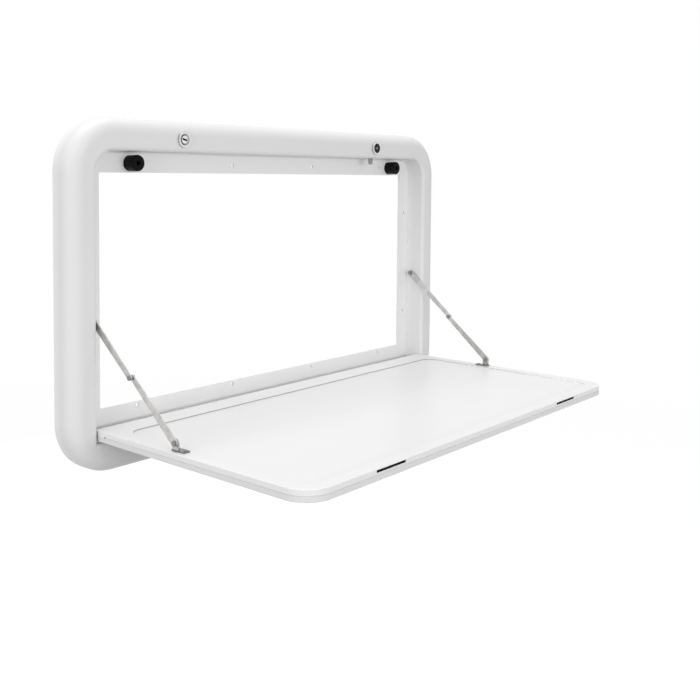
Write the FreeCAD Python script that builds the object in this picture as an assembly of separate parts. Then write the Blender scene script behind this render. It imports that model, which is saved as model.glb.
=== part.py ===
import FreeCAD, Part
import math
import os

from FreeCAD import Vector

# Wall-mounted folding table for a caravan: a moulded frame, a drop-down leaf on two side pins,
# two folding stays and two cam locks. Millimetres, +Z up, +X along the width, the front faces -Y.
# The origin is the middle of the back plane that lies on the wall, and the leaf is open.

# Frame moulding
WIDTH = 800.0
HEIGHT = 460.0
DEPTH = 37.0
OUTER_CORNER_R = 70.0
FRONT_EDGE_R = 20.0
WALL = 3.0
RIM_SIDE = 40.0
RIM_LEVEL = 42.5
RECESS_TOP_R = 30.0
FACE_EDGE_R = 5.5
FLANGE_T = 3.0
FLANGE_SIDE = 28.0
FLANGE_TOP = 28.5
FLANGE_BOTTOM = 35.0
RIB_T = 2.5
RIB_SET_BACK = 5.0
RIB_LOCK_GAP = 48.0
RIB_PITCH_Z = 90.0

# Wall screw holes
SCREW_HOLE_R = 2.75
HOLE_PITCH_X = 180.0
HOLE_PITCH_Z = 180.0
TOP_HOLE_DROP = 16.0
BOTTOM_HOLE_RISE = 30.0

# Leaf
LEAF_T = 14.4
LEAF_SIDE_GAP = 1.5
LEAF_TOP_GAP = 2.0
LEAF_BOTTOM_GAP = 3.2
LEAF_CORNER_R = 35.0
LEAF_REAR_CORNER_R = 12.0
LEAF_EDGE_R = 1.0
LEAF_SKIN = 2.5
LEAF_FRONT_BAND = 18.0
LEAF_HINGE_BAND = 24.0
CELL_RIB = 2.0
CELLS_X = 6
CELLS_Y = 3
SEAM_H = 0.4
SEAM_DEPTH = 0.6
PANEL_DEPTH = 1.5
PANEL_SIDE_RIM = 19.5
PANEL_REAR_RIM = 36.0
PANEL_FRONT_RIM = 20.0
PANEL_CORNER_R = 22.0
HINGE_PIN_R = 3.0
HINGE_PIN_REACH = 22.0
HINGE_HEAD_PLAY = 0.2
HINGE_HEAD_T = 2.0
PIN_LOCK_R = 1.6
PIN_LOCK_OFFSET = 19.0
PIN_LOCK_DEPTH = 6.0

# Stays
BRACKET_REACH = 147.7
BRACKET_RISE = 10.0
BRACKET_T = 2.0
BRACKET_BASE_LENGTH = 22.0
BRACKET_BASE_WIDTH = 10.0
BRACKET_TAB_R = 5.5
BRACKET_TAB_OFFSET = 4.0
FOLD_OFFSET = 8.8
LINK_T = 2.0
LINK_END_R = 5.0
LINK_MID_R = 3.4
LINK_WALL_GAP = 1.7
LINK_SPACING = 1.8
TAB_GAP = 0.2
RIVET_R = 2.5
RIVET_HEAD_R = 3.6
RIVET_HEAD_T = 1.1
RIVET_WASHER_R = 4.2
MID_HEAD_R = 3.2
FACE_PLAY = 0.05
OPEN_PIVOT_PLAY = 0.3
BRACKET_SCREW_R = 1.3
BRACKET_SCREW_LENGTH = 3.0
BRACKET_SCREW_HEAD_R = 2.4
BRACKET_SCREW_HEAD_T = 1.3
BRACKET_SCREW_SPREAD = 14.0

# Cam locks
LOCK_X = 216.0
LOCK_RISE = 17.0
LOCK_RING_R = 11.0
LOCK_RING_T = 3.0
LOCK_RING_EDGE_R = 1.0
LOCK_MOUTH_R = 8.2
LOCK_MOUTH_DEPTH = 1.6
LOCK_BARREL_R = 8.0
LOCK_NUT_FLATS = 19.0
LOCK_NUT_T = 4.0
LOCK_BOSS_R = 12.0
PLUG_R = 6.0
PLUG_PROUD = 2.4
KEY_SLOT_LENGTH = 8.0
KEY_SLOT_WIDTH = 1.7
KEY_SLOT_DEPTH = 3.0
KEY_SLOT_TILT = {"left": 14.0, "right": 90.0}
SPINDLE_SQUARE = 6.0
CAM_T = 2.0
CAM_WIDTH = 16.0
CAM_TIP_WIDTH = 8.6
CAM_TIP_R = 2.0
CAM_EYE_R = 8.0
CAM_ENGAGE = 8.5
CAM_SCREW_R = 1.6
CAM_SCREW_LENGTH = 6.0
CAM_SCREW_HEAD_R = 4.2
CAM_SCREW_HEAD_T = 1.8
CAM_WINDOW_Y = 7.0
CAM_WINDOW_PLAY = 2.5
KEEPER_DROP = 3.2
KEEPER_SLOT_LENGTH = 56.0
KEEPER_SLOT_H = 3.2
KEEPER_WALL = 0.4
KEEPER_DEPTH = 12.0

# Bumpers
BUMPER_R = 11.0
BUMPER_FOOT_R = 10.6
BUMPER_NOSE_R = 2.0
BUMPER_LEFT_INSET = 78.0
BUMPER_RIGHT_INSET = 63.0
BUMPER_DROP = 15.8
BUMPER_WELL_R = 3.4
BUMPER_WELL_DEPTH = 9.0
BUMPER_SCREW_R = 1.6
BUMPER_SCREW_HEAD_R = 2.9
BUMPER_SCREW_HEAD_T = 1.9
BUMPER_PLAY = 0.4

# Clearances
RUNNING_FIT = 0.05
SEAT_FIT = 0.05
# How far a cut runs past the face it opens
OVERCUT = 1.0

SIDES = {"left": -1.0, "right": 1.0}

# Places worked out from the sizes above
recess_x = WIDTH / 2 - RIM_SIDE
recess_top = HEIGHT / 2 - RIM_LEVEL
recess_bottom = -recess_top
opening_x = recess_x - FLANGE_SIDE
opening_top = recess_top - FLANGE_TOP
opening_bottom = recess_bottom + FLANGE_BOTTOM
flange_y = -FLANGE_T
face_y = -DEPTH
face_back_y = face_y + WALL

leaf_x = recess_x - LEAF_SIDE_GAP
hinge_y = face_y + LEAF_T / 2
hinge_z = recess_bottom + LEAF_BOTTOM_GAP + LEAF_T / 2
leaf_reach = recess_top - LEAF_TOP_GAP - hinge_z
leaf_front_y = hinge_y - leaf_reach
leaf_top_z = hinge_z + LEAF_T / 2
leaf_bottom_z = hinge_z - LEAF_T / 2
closed_inner_y = hinge_y + LEAF_T / 2
hinge_head_r = LEAF_T / 2 - WALL - HINGE_HEAD_PLAY

bracket_pivot = (hinge_y - BRACKET_REACH, leaf_top_z + BRACKET_RISE)
bracket_pivot_closed = (closed_inner_y + BRACKET_RISE, hinge_z + BRACKET_REACH)
frame_pivot = (bracket_pivot_closed[0], bracket_pivot_closed[1] + FOLD_OFFSET)
stay_span = math.dist(frame_pivot, bracket_pivot)
upper_link_length = (stay_span + FOLD_OFFSET) / 2
lower_link_length = (stay_span - FOLD_OFFSET) / 2
stay_direction = tuple((b - a) / stay_span for a, b in zip(frame_pivot, bracket_pivot))
mid_pivot = tuple(a + d * upper_link_length for a, d in zip(frame_pivot, stay_direction))

upper_outer_x = recess_x - LINK_WALL_GAP
upper_inner_x = upper_outer_x - LINK_T
lower_outer_x = upper_inner_x - LINK_SPACING
lower_inner_x = lower_outer_x - LINK_T
tab_outer_x = lower_inner_x - TAB_GAP
tab_inner_x = tab_outer_x - BRACKET_T

lock_z = recess_top + LOCK_RISE
cam_y = closed_inner_y - KEEPER_DROP
cam_front_y = cam_y - CAM_T / 2
cam_back_y = cam_y + CAM_T / 2
cam_reach = lock_z - (recess_top - LEAF_TOP_GAP - CAM_ENGAGE)
keeper_z = leaf_top_z - KEEPER_DROP
bumper_z = recess_top - BUMPER_DROP
bumper_places = {"left": BUMPER_LEFT_INSET - recess_x, "right": recess_x - BUMPER_RIGHT_INSET}
bumper_tip_y = closed_inner_y + BUMPER_PLAY


def box(x0, x1, y0, y1, z0, z1):
    """A box between two corners, given in any order."""
    low = Vector(min(x0, x1), min(y0, y1), min(z0, z1))
    return Part.makeBox(abs(x1 - x0), abs(y1 - y0), abs(z1 - z0), low)


def cylinder_y(x, z, y0, y1, radius):
    """A round bar along Y."""
    return Part.makeCylinder(radius, abs(y1 - y0), Vector(x, min(y0, y1), z), Vector(0, 1, 0))


def cylinder_x(x0, x1, y, z, radius):
    """A round bar along X."""
    return Part.makeCylinder(radius, abs(x1 - x0), Vector(min(x0, x1), y, z), Vector(1, 0, 0))


def cylinder_z(x, y, z0, z1, radius):
    """A round bar along Z."""
    return Part.makeCylinder(radius, abs(z1 - z0), Vector(x, y, min(z0, z1)), Vector(0, 0, 1))


def corner_outline(u0, u1, v0, v1, radii):
    """Corner points of a rectangle in order, each with its own radius."""
    points = ((u0, v0), (u1, v0), (u1, v1), (u0, v1))
    return list(zip(points, radii))


def rounded_wire(corners, to_space):
    """A closed wire through corners that are rounded by tangent arcs."""
    edges = []
    count = len(corners)
    ends = []
    for index, ((u, v), radius) in enumerate(corners):
        before = corners[index - 1][0]
        after = corners[(index + 1) % count][0]
        to_before = Vector(before[0] - u, before[1] - v, 0).normalize()
        to_after = Vector(after[0] - u, after[1] - v, 0).normalize()
        corner = Vector(u, v, 0)
        start = corner + to_before * radius
        end = corner + to_after * radius
        centre = start + to_after * radius
        middle = centre + (corner - centre) * math.sqrt(0.5)
        ends.append((start, middle, end, radius))
    for index, (start, middle, end, radius) in enumerate(ends):
        if radius > 0:
            edges.append(Part.Arc(to_space(start), to_space(middle), to_space(end)).toShape())
        next_start = ends[(index + 1) % count][0]
        edges.append(Part.LineSegment(to_space(end), to_space(next_start)).toShape())
    return Part.Wire(edges)


def upright_plate(x0, x1, z0, z1, y0, y1, radii):
    """A plate in the XZ plane with rounded corners, from y0 to y1."""
    wire = rounded_wire(corner_outline(x0, x1, z0, z1, radii), lambda p: Vector(p.x, y0, p.y))
    return Part.Face(wire).extrude(Vector(0, y1 - y0, 0))


def level_plate(x0, x1, y0, y1, z0, z1, radii):
    """A plate in the XY plane with rounded corners, from z0 to z1."""
    wire = rounded_wire(corner_outline(x0, x1, y0, y1, radii), lambda p: Vector(p.x, p.y, z0))
    return Part.Face(wire).extrude(Vector(0, 0, z1 - z0))


def edges_at(shape, axis, value):
    """Edges whose whole length lies at one value of an axis."""
    low, high = axis + "Min", axis + "Max"
    found = []
    for edge in shape.Edges:
        bounds = edge.BoundBox
        if abs(getattr(bounds, low) - value) < 1e-3 and abs(getattr(bounds, high) - value) < 1e-3:
            found.append(edge)
    return found


def turned(steps, along, origin):
    """A turned piece: (from, to, radius) steps along an axis through a point, fused in order."""
    pieces = []
    for start, end, radius in steps:
        low = min(start, end)
        base = origin + along * low
        pieces.append(Part.makeCylinder(radius, abs(end - start), base, along))
    solid = pieces[0]
    if len(pieces) > 1:
        solid = solid.fuse(pieces[1:])
    return solid.removeSplitter()


# Frame

def domed_block(inset, depth):
    """The frame's outer form, inset by a wall, with its front edge rounded."""
    half_w = WIDTH / 2 - inset
    half_h = HEIGHT / 2 - inset
    block = upright_plate(-half_w, half_w, -half_h, half_h, 0, -depth, [OUTER_CORNER_R - inset] * 4)
    return block.makeFillet(FRONT_EDGE_R - inset, edges_at(block, "Y", -depth))


def recess_block(grow, y_front, y_back):
    """The space that the closed leaf lies in, grown by a wall."""
    top_r = RECESS_TOP_R + grow
    radii = [grow / 2, grow / 2, top_r, top_r]
    half_w = recess_x + grow
    return upright_plate(-half_w, half_w, recess_bottom - grow, recess_top + grow, y_front, y_back, radii)


def wall_hole_centres():
    """Places of the wall screw holes in the flange, as (x, z)."""
    row = [HOLE_PITCH_X * step for step in (-1.5, -0.5, 0.5, 1.5)]
    top = [(x, recess_top - TOP_HOLE_DROP) for x in row]
    bottom = [(x, recess_bottom + BOTTOM_HOLE_RISE) for x in row]
    side_x = recess_x - FLANGE_SIDE / 2
    sides = [(sx * side_x, sz * HOLE_PITCH_Z / 2) for sx in (-1, 1) for sz in (-1, 1)]
    return top + bottom + sides


def hollow_ribs():
    """Cross ribs that stiffen the hollow behind the frame's face, clear of the locks and pivots."""
    near_lock = LOCK_X - RIB_LOCK_GAP
    columns = [0.0, near_lock / 2, near_lock, LOCK_X + RIB_LOCK_GAP, recess_x - RIM_SIDE]
    rows = [frame_pivot[1] + step * RIB_PITCH_Z for step in (-0.5, 0.5, 1.5)]
    ribs = []
    for x in sorted({side * column for side in SIDES.values() for column in columns}):
        ribs.append(box(x - RIB_T / 2, x + RIB_T / 2, -DEPTH, -RIB_SET_BACK, -HEIGHT, HEIGHT))
    for z in rows:
        ribs.append(box(-WIDTH, WIDTH, -DEPTH, -RIB_SET_BACK, z - RIB_T / 2, z + RIB_T / 2))
    return ribs


def frame_shell():
    """The one-piece moulded frame with its hollow back, flange, ribs and holes."""
    body = domed_block(0, DEPTH)
    recess = recess_block(0, face_y - OVERCUT, flange_y)
    body = body.cut(recess)
    rim = [e for e in edges_at(body, "Y", face_y) if e.BoundBox.XMax < recess_x + WALL]
    rim = [e for e in rim if e.BoundBox.XMin > -recess_x - WALL]
    body = body.makeFillet(FACE_EDGE_R, rim)
    body = body.cut(box(-opening_x, opening_x, flange_y - OVERCUT, OVERCUT, opening_bottom, opening_top))
    hollow = domed_block(WALL, DEPTH - WALL).cut(recess_block(WALL, OVERCUT, face_y - OVERCUT))
    ribbed = hollow.cut(hollow_ribs())
    body = body.cut(ribbed)
    for side in SIDES.values():
        x = side * LOCK_X
        body = body.fuse(cylinder_y(x, lock_z, face_y, face_back_y, LOCK_BOSS_R))
        body = body.cut(cylinder_y(x, lock_z, face_back_y, cam_back_y, LOCK_BOSS_R))
        seat_r = LOCK_BARREL_R + SEAT_FIT
        body = body.cut(cylinder_y(x, lock_z, face_y - OVERCUT, face_back_y + OVERCUT, seat_r))
        chord = math.sqrt(max(cam_reach ** 2 - (lock_z - recess_top - WALL) ** 2, 0))
        toward = chord + CAM_WINDOW_PLAY
        away = CAM_WIDTH / 2 + CAM_WINDOW_PLAY
        y0, y1 = cam_y - CAM_WINDOW_Y / 2, cam_y + CAM_WINDOW_Y / 2
        z0, z1 = recess_top - OVERCUT, recess_top + WALL + OVERCUT
        body = body.cut(box(x - side * toward, x + side * away, y0, y1, z0, z1))
        wall_x = side * recess_x
        outer = side * (recess_x + WALL + OVERCUT)
        body = body.cut(cylinder_x(wall_x - side, outer, hinge_y, hinge_z, HINGE_PIN_R + SEAT_FIT))
        body = body.cut(cylinder_x(wall_x - side, outer, *frame_pivot, RIVET_R + SEAT_FIT))
    for x, z in wall_hole_centres():
        body = body.cut(cylinder_y(x, z, flange_y - OVERCUT, OVERCUT, SCREW_HOLE_R))
    for x in bumper_places.values():
        body = body.cut(cylinder_y(x, bumper_z, flange_y - OVERCUT, OVERCUT, BUMPER_SCREW_R + SEAT_FIT))
    return body.removeSplitter()


# Locks

def lock_housing(side):
    """Lock barrel with its raised front ring, bored for the plug and dished at its mouth."""
    at = Vector(side * LOCK_X, 0, lock_z)
    along = Vector(0, 1, 0)
    ring_y = face_y - LOCK_RING_T
    outer = turned(((ring_y, face_y, LOCK_RING_R),
                    (face_y, cam_front_y - SEAT_FIT, LOCK_BARREL_R)), along, at)
    outer = outer.makeFillet(LOCK_RING_EDGE_R, edges_at(outer, "Y", ring_y))
    bore_r = PLUG_R + RUNNING_FIT
    bore = cylinder_y(at.x, at.z, ring_y - OVERCUT, cam_front_y + OVERCUT, bore_r)
    mouth = Part.makeCone(LOCK_MOUTH_R, bore_r, LOCK_MOUTH_DEPTH, at + along * ring_y, along)
    return outer.cut([bore, mouth])


def lock_nut(side):
    """Six-sided nut that clamps the barrel behind the face."""
    radius = LOCK_NUT_FLATS / 2 / math.cos(math.pi / 6)
    points = []
    for step in range(7):
        angle = math.pi / 3 * step
        points.append(Vector(side * LOCK_X + radius * math.cos(angle), face_back_y,
                             lock_z + radius * math.sin(angle)))
    nut = Part.Face(Part.makePolygon(points)).extrude(Vector(0, LOCK_NUT_T, 0))
    return nut.cut(cylinder_y(side * LOCK_X, lock_z, -DEPTH, 0, LOCK_BARREL_R + SEAT_FIT))


def lock_plug(side, slot_tilt):
    """Turning plug with a key slot in front and a square spindle behind."""
    x = side * LOCK_X
    front = face_y - PLUG_PROUD
    plug = cylinder_y(x, lock_z, front, cam_front_y, PLUG_R)
    half = SPINDLE_SQUARE / 2
    plug = plug.fuse(box(x - half, x + half, cam_front_y, cam_back_y, lock_z - half, lock_z + half))
    slot = box(x - KEY_SLOT_LENGTH / 2, x + KEY_SLOT_LENGTH / 2, front - OVERCUT, front + KEY_SLOT_DEPTH,
               lock_z - KEY_SLOT_WIDTH / 2, lock_z + KEY_SLOT_WIDTH / 2)
    slot.rotate(Vector(x, 0, lock_z), Vector(0, 1, 0), slot_tilt)
    thread = cylinder_y(x, lock_z, cam_back_y - CAM_SCREW_LENGTH, cam_back_y, CAM_SCREW_R + SEAT_FIT)
    return plug.cut([slot, thread]).removeSplitter()


def lock_cam(side, hangs_down):
    """Flat tapered cam on the spindle, pointing down or toward the middle."""
    x = side * LOCK_X
    tip_z = lock_z - cam_reach
    outline = [Vector(x + step * width / 2, cam_front_y, z) for step, width, z in
               ((-1, CAM_WIDTH, lock_z), (-1, CAM_TIP_WIDTH, tip_z), (1, CAM_TIP_WIDTH, tip_z),
                (1, CAM_WIDTH, lock_z), (-1, CAM_WIDTH, lock_z))]
    tongue = Part.Face(Part.makePolygon(outline)).extrude(Vector(0, CAM_T, 0))
    corners = [e for e in edges_at(tongue, "Z", tip_z) if e.BoundBox.YLength > CAM_T / 2]
    tongue = tongue.makeFillet(CAM_TIP_R, corners)
    cam = cylinder_y(x, lock_z, cam_front_y, cam_back_y, CAM_EYE_R).fuse(tongue)
    hole = SPINDLE_SQUARE / 2 + SEAT_FIT
    cam = cam.cut(box(x - hole, x + hole, cam_front_y - OVERCUT, cam_back_y + OVERCUT,
                      lock_z - hole, lock_z + hole))
    if not hangs_down:
        cam.rotate(Vector(x, 0, lock_z), Vector(0, 1, 0), 90 * side)
    return cam.removeSplitter()


def cam_screw(side):
    """Screw with a wide head that holds the cam on the spindle."""
    at = Vector(side * LOCK_X, 0, lock_z)
    return turned(((cam_back_y - CAM_SCREW_LENGTH + OVERCUT, cam_back_y, CAM_SCREW_R),
                   (cam_back_y, cam_back_y + CAM_SCREW_HEAD_T, CAM_SCREW_HEAD_R)), Vector(0, 1, 0), at)


# Bumpers

def bumper(x):
    """Rubber bumper, a little wider at its nose, with a well for its screw."""
    length = flange_y - bumper_tip_y
    well_y = bumper_tip_y + BUMPER_WELL_DEPTH
    body = Part.makeCone(BUMPER_R, BUMPER_FOOT_R, length, Vector(x, bumper_tip_y, bumper_z), Vector(0, 1, 0))
    body = body.makeFillet(BUMPER_NOSE_R, edges_at(body, "Y", bumper_tip_y))
    well = cylinder_y(x, bumper_z, bumper_tip_y - OVERCUT, well_y, BUMPER_WELL_R)
    hole = cylinder_y(x, bumper_z, well_y - OVERCUT, flange_y + OVERCUT, BUMPER_SCREW_R + SEAT_FIT)
    return body.cut([well, hole])


def bumper_screws():
    """The two screws that hold the bumpers to the flange."""
    seat_y = bumper_tip_y + BUMPER_WELL_DEPTH
    screws = []
    for x in bumper_places.values():
        at = Vector(x, 0, bumper_z)
        screws.append(turned(((seat_y - BUMPER_SCREW_HEAD_T, seat_y, BUMPER_SCREW_HEAD_R),
                              (seat_y, 0, BUMPER_SCREW_R)), Vector(0, 1, 0), at))
    return Part.makeCompound(screws)


# Leaf

def leaf_plan(inset, z0, z1, y_back):
    """The leaf's plan outline as a plate, inset from its edge."""
    corner = max(LEAF_CORNER_R - inset, 0)
    radii = [corner, corner, 0, 0]
    return level_plate(-leaf_x + inset, leaf_x - inset, leaf_front_y + inset, y_back, z0, z1, radii)


def leaf_block():
    """The whole leaf as one form, with a half-round hinge edge and softened rims."""
    plate = leaf_plan(0, leaf_bottom_z, leaf_top_z, hinge_y)
    barrel = cylinder_x(-leaf_x, leaf_x, hinge_y, hinge_z, LEAF_T / 2)
    block = plate.fuse(barrel).removeSplitter()
    rims = []
    for edge in edges_at(block, "Z", leaf_top_z) + edges_at(block, "Z", leaf_bottom_z):
        if edge.BoundBox.YMin < hinge_y - LEAF_EDGE_R:
            rims.append(edge)
    block = block.makeFillet(LEAF_EDGE_R, rims)
    rear = level_plate(-leaf_x, leaf_x, leaf_front_y - OVERCUT, hinge_y + LEAF_T / 2, leaf_bottom_z - OVERCUT,
                       leaf_top_z + OVERCUT, [0, 0, LEAF_REAR_CORNER_R, LEAF_REAR_CORNER_R])
    block = block.common(rear)
    seam = leaf_plan(-OVERCUT, hinge_z - SEAM_H / 2, hinge_z + SEAM_H / 2, hinge_y - LEAF_T)
    seam = seam.cut(leaf_plan(SEAM_DEPTH, hinge_z - LEAF_T, hinge_z + LEAF_T, hinge_y))
    block = block.cut(seam)
    panel = level_plate(-leaf_x + PANEL_SIDE_RIM, leaf_x - PANEL_SIDE_RIM,
                        leaf_front_y + PANEL_FRONT_RIM, hinge_y - PANEL_REAR_RIM,
                        leaf_top_z - PANEL_DEPTH, leaf_top_z + OVERCUT, [PANEL_CORNER_R] * 4)
    block = block.cut(panel)
    for side in SIDES.values():
        edge_x = side * leaf_x
        pin_end = side * (leaf_x - HINGE_PIN_REACH)
        block = block.cut(cylinder_x(edge_x + side, pin_end, hinge_y, hinge_z, HINGE_PIN_R + RUNNING_FIT))
        block = block.cut(cylinder_x(edge_x + side, side * (leaf_x - PIN_LOCK_DEPTH),
                                     hinge_y - PIN_LOCK_OFFSET, hinge_z, PIN_LOCK_R))
        pocket = KEEPER_SLOT_LENGTH / 2 + KEEPER_WALL
        lip = KEEPER_SLOT_H / 2 + KEEPER_WALL
        block = block.cut(box(side * LOCK_X - pocket, side * LOCK_X + pocket, leaf_front_y - OVERCUT,
                              leaf_front_y + KEEPER_DEPTH, keeper_z - lip, keeper_z + lip))
        for y in bracket_screw_rows(side):
            top = leaf_top_z - BRACKET_SCREW_LENGTH
            block = block.cut(cylinder_z(side * bracket_screw_x(), y, top, leaf_top_z + OVERCUT,
                                         BRACKET_SCREW_R + SEAT_FIT))
    return block


def leaf_cells(z0, z1):
    """Hollow cells between the leaf's inner ribs."""
    front = leaf_front_y + LEAF_FRONT_BAND
    back = hinge_y - LEAF_HINGE_BAND
    half = leaf_x - PANEL_SIDE_RIM
    step_x = 2 * half / CELLS_X
    step_y = (back - front) / CELLS_Y
    cells = []
    for column in range(CELLS_X):
        for row in range(CELLS_Y):
            x = -half + column * step_x
            y = front + row * step_y
            cells.append(box(x + CELL_RIB / 2, x + step_x - CELL_RIB / 2,
                             y + CELL_RIB / 2, y + step_y - CELL_RIB / 2, z0, z1))
    inside = leaf_plan(LEAF_FRONT_BAND, z0, z1, back)
    return inside.common(Part.makeCompound(cells))


def leaf_top(block):
    """Upper half of the leaf, with the sunk panel and hollow underside."""
    upper = block.common(box(-WIDTH, WIDTH, leaf_front_y - OVERCUT, 0, hinge_z, leaf_top_z + OVERCUT))
    return upper.cut(leaf_cells(hinge_z, leaf_top_z - PANEL_DEPTH - LEAF_SKIN)).removeSplitter()


def leaf_base(block):
    """Lower half of the leaf, which shows when the table is shut."""
    lower = block.common(box(-WIDTH, WIDTH, leaf_front_y - OVERCUT, 0, leaf_bottom_z - OVERCUT, hinge_z))
    return lower.cut(leaf_cells(leaf_bottom_z + LEAF_SKIN, hinge_z)).removeSplitter()


def keeper(side):
    """Dark liner of the slot that takes the cam."""
    x = side * LOCK_X
    half = KEEPER_SLOT_LENGTH / 2
    lip = KEEPER_SLOT_H / 2
    front = leaf_front_y
    back = leaf_front_y + KEEPER_DEPTH
    skin = KEEPER_WALL - SEAT_FIT
    body = box(x - half - skin, x + half + skin, front, back - SEAT_FIT,
               keeper_z - lip - skin, keeper_z + lip + skin)
    return body.cut(box(x - half, x + half, front - OVERCUT, back - OVERCUT, keeper_z - lip, keeper_z + lip))


def hinge_pin(side):
    """Headed pin from the frame's side wall into the leaf."""
    at = Vector(0, hinge_y, hinge_z)
    along = Vector(side, 0, 0)
    head = recess_x + WALL
    return turned(((head, head + HINGE_HEAD_T, hinge_head_r),
                   (leaf_x - HINGE_PIN_REACH + OVERCUT, head, HINGE_PIN_R)), along, at)


# Stays

def bracket_screw_x():
    """Distance of the bracket screws from the middle plane."""
    return tab_inner_x - (BRACKET_BASE_WIDTH - BRACKET_T) / 2


def bracket_base_y(side):
    """Middle of a bracket's base: one part fits both sides, so it is turned round on one."""
    return bracket_pivot[0] + side * BRACKET_TAB_OFFSET


def bracket_screw_rows(side):
    """Places of the two bracket screws along the leaf."""
    return [bracket_base_y(side) + step * BRACKET_SCREW_SPREAD / 2 for step in (-1, 1)]


def stay_bracket(side):
    """Bent steel bracket: a base on the leaf's rim and an upright tab for the stay."""
    y, z = bracket_pivot
    half = BRACKET_BASE_LENGTH / 2
    inner = tab_outer_x - BRACKET_BASE_WIDTH
    middle = bracket_base_y(side)
    base = box(side * inner, side * tab_outer_x, middle - half, middle + half,
               leaf_top_z, leaf_top_z + BRACKET_T)
    tab = box(side * tab_inner_x, side * tab_outer_x, y - BRACKET_TAB_R, y + BRACKET_TAB_R, leaf_top_z, z)
    eye = cylinder_x(side * tab_inner_x, side * tab_outer_x, y, z, BRACKET_TAB_R)
    body = base.fuse([tab, eye])
    body = body.cut(cylinder_x(side * (tab_inner_x - OVERCUT), side * (tab_outer_x + OVERCUT), y, z,
                               RIVET_R + SEAT_FIT))
    for row in bracket_screw_rows(side):
        body = body.cut(cylinder_z(side * bracket_screw_x(), row,
                                   leaf_top_z - OVERCUT, leaf_top_z + BRACKET_T + OVERCUT,
                                   BRACKET_SCREW_R + SEAT_FIT))
    return body.removeSplitter()


def bracket_screws():
    """The four round-head screws that hold the brackets."""
    screws = []
    seat = leaf_top_z + BRACKET_T
    for side in SIDES.values():
        for row in bracket_screw_rows(side):
            at = Vector(side * bracket_screw_x(), row, 0)
            screw = turned(((leaf_top_z - BRACKET_SCREW_LENGTH + SEAT_FIT, seat, BRACKET_SCREW_R),
                            (seat, seat + BRACKET_SCREW_HEAD_T, BRACKET_SCREW_HEAD_R)), Vector(0, 0, 1), at)
            rim = edges_at(screw, "Z", seat + BRACKET_SCREW_HEAD_T)
            screws.append(screw.makeFillet(BRACKET_SCREW_HEAD_T * 0.8, rim))
    return Part.makeCompound(screws)


def bar_link(x0, x1, pivot, middle):
    """Flat link with round ends and holes, tapering from its pivot to the middle of the stay."""
    run = Vector(0, middle[0] - pivot[0], middle[1] - pivot[1])
    across = Vector(0, -run.z, run.y).normalize()
    low = min(x0, x1)
    first = Vector(low, *pivot)
    last = Vector(low, *middle)
    wide = across * LINK_END_R
    narrow = across * LINK_MID_R
    corners = [first + wide, last + narrow, last - narrow, first - wide, first + wide]
    bar = Part.Face(Part.makePolygon(corners)).extrude(Vector(LINK_T, 0, 0))
    ends = [cylinder_x(x0, x1, *pivot, LINK_END_R), cylinder_x(x0, x1, *middle, LINK_MID_R)]
    link = bar.fuse(ends).removeSplitter()
    for place in (pivot, middle):
        link = link.cut(cylinder_x(low - OVERCUT, low + LINK_T + OVERCUT, *place, RIVET_R + RUNNING_FIT))
    return link


def upper_link(side):
    """Upper link, from the frame to the middle of the stay."""
    return bar_link(side * upper_outer_x, side * upper_inner_x, frame_pivot, mid_pivot)


def lower_link(side):
    """Lower link, from the middle of the stay to the bracket."""
    return bar_link(side * lower_outer_x, side * lower_inner_x, bracket_pivot, mid_pivot)


def stay_pivot(side):
    """Shouldered rivet that carries the stay on the frame's side wall."""
    at = Vector(0, *frame_pivot)
    wall_back = recess_x + WALL
    head = upper_inner_x - FACE_PLAY
    return turned(((wall_back, wall_back + RIVET_HEAD_T, RIVET_WASHER_R),
                   (head, wall_back, RIVET_R),
                   (upper_outer_x + FACE_PLAY, recess_x, RIVET_WASHER_R),
                   (head - RIVET_HEAD_T, head, RIVET_HEAD_R)), Vector(side, 0, 0), at)


def bracket_rivet(side):
    """Rivet that carries the stay on the bracket."""
    at = Vector(0, *bracket_pivot)
    head = lower_outer_x + FACE_PLAY
    return turned(((tab_inner_x - RIVET_HEAD_T, tab_inner_x, RIVET_HEAD_R),
                   (tab_inner_x, head, RIVET_R),
                   (head, head + RIVET_HEAD_T, RIVET_HEAD_R)), Vector(side, 0, 0), at)


def mid_rivet_head(side):
    """Head, shank and spacer of the middle rivet, on the upper link."""
    at = Vector(0, *mid_pivot)
    return turned(((upper_outer_x, upper_outer_x + RIVET_HEAD_T, MID_HEAD_R),
                   (upper_inner_x, upper_outer_x, RIVET_R),
                   (lower_outer_x + OPEN_PIVOT_PLAY, upper_inner_x, MID_HEAD_R)), Vector(side, 0, 0), at)


def mid_rivet_tail(side):
    """Formed tail of the middle rivet, on the lower link."""
    at = Vector(0, *mid_pivot)
    return turned(((lower_inner_x - RIVET_HEAD_T, lower_inner_x, MID_HEAD_R),
                   (lower_inner_x, lower_outer_x, RIVET_R)), Vector(side, 0, 0), at)


# Assembly

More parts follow.
